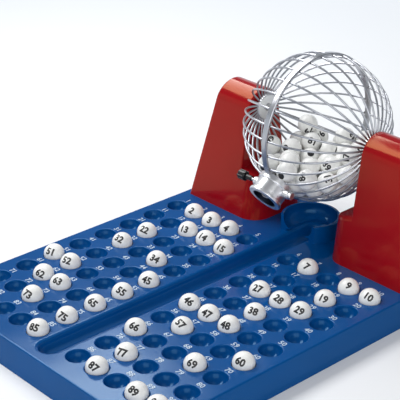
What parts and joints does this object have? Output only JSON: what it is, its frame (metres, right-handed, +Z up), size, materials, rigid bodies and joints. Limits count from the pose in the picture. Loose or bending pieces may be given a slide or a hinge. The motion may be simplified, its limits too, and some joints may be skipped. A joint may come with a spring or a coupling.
{
  "type": "bingo game",
  "caption": "Table bingo game: a crank turns a round wire cage of numbered balls between two red towers, above a blue tray with a recess for each ball.",
  "frame": {"origin": "middle of the tray's underside, on its centre pad", "axes": "+X towards the crank's side, +Y from the player to the cage, +Z up"},
  "size_m": [0.3347, 0.4272, 0.2078],
  "materials": {
    "tray_blue": "glossy moulded blue plastic",
    "tower_red": "glossy moulded red plastic",
    "wire_silver": "bright plated wire",
    "tube_silver": "bright plated metal",
    "steel": "turned steel",
    "black_plastic": "satin black plastic",
    "white_plastic": "plain white nylon",
    "ball_white": "smooth ivory plastic with black numbers"
  },
  "bodies": {
    "root": {"tray": "tray_blue", "scoop": "tray_blue", "left_tower": "tower_red", "right_tower": "tower_red", "tower_screws": "steel", "left_bush": "white_plastic", "right_inner_bush": "white_plastic", "right_outer_bush": "white_plastic"},
    "cage": {"centre_ring": "wire_silver", "left_wires": "wire_silver", "right_wires": "wire_silver", "left_hub": "tube_silver", "right_hub": "tube_silver", "left_axle": "steel", "right_axle": "steel", "left_clip": "steel", "right_clip": "steel", "release_tube": "tube_silver", "crank_arm": "steel", "crank_screw": "steel", "crank_pin": "steel"},
    "grip": {"crank_grip": "black_plastic"},
    "gate": {"gate_wire": "steel", "gate_knob": "black_plastic", "gate_collar": "tube_silver"},
    "called_balls": {"called_balls": "ball_white"},
    "caged_balls": {"caged_balls": "ball_white"}
  },
  "joints": [
    {"name": "cage_turn", "type": "hinge", "parent": "root", "child": "cage", "pos_m": [0, 0.1505, 0.1341], "axis": [1, 0, 0], "continuous": true},
    {"name": "grip_turn", "type": "hinge", "parent": "cage", "child": "grip", "pos_m": [0.15649, 0.1505, 0.09723], "axis": [1, 0, 0], "continuous": true},
    {"name": "gate_turn", "type": "hinge", "parent": "cage", "child": "gate", "pos_m": [0, 0.0898, 0.08836], "axis": [1, 0, 0], "range_deg": [0, 90]},
    {"name": "called_balls_lift", "type": "slide", "parent": "root", "child": "called_balls", "axis": [0, 0, 1], "range_m": [0, 0.03]},
    {"name": "caged_balls_roll", "type": "hinge", "parent": "root", "child": "caged_balls", "pos_m": [0, 0.1505, 0.1341], "axis": [1, 0, 0], "range_deg": [-35, 35]}
  ]
}
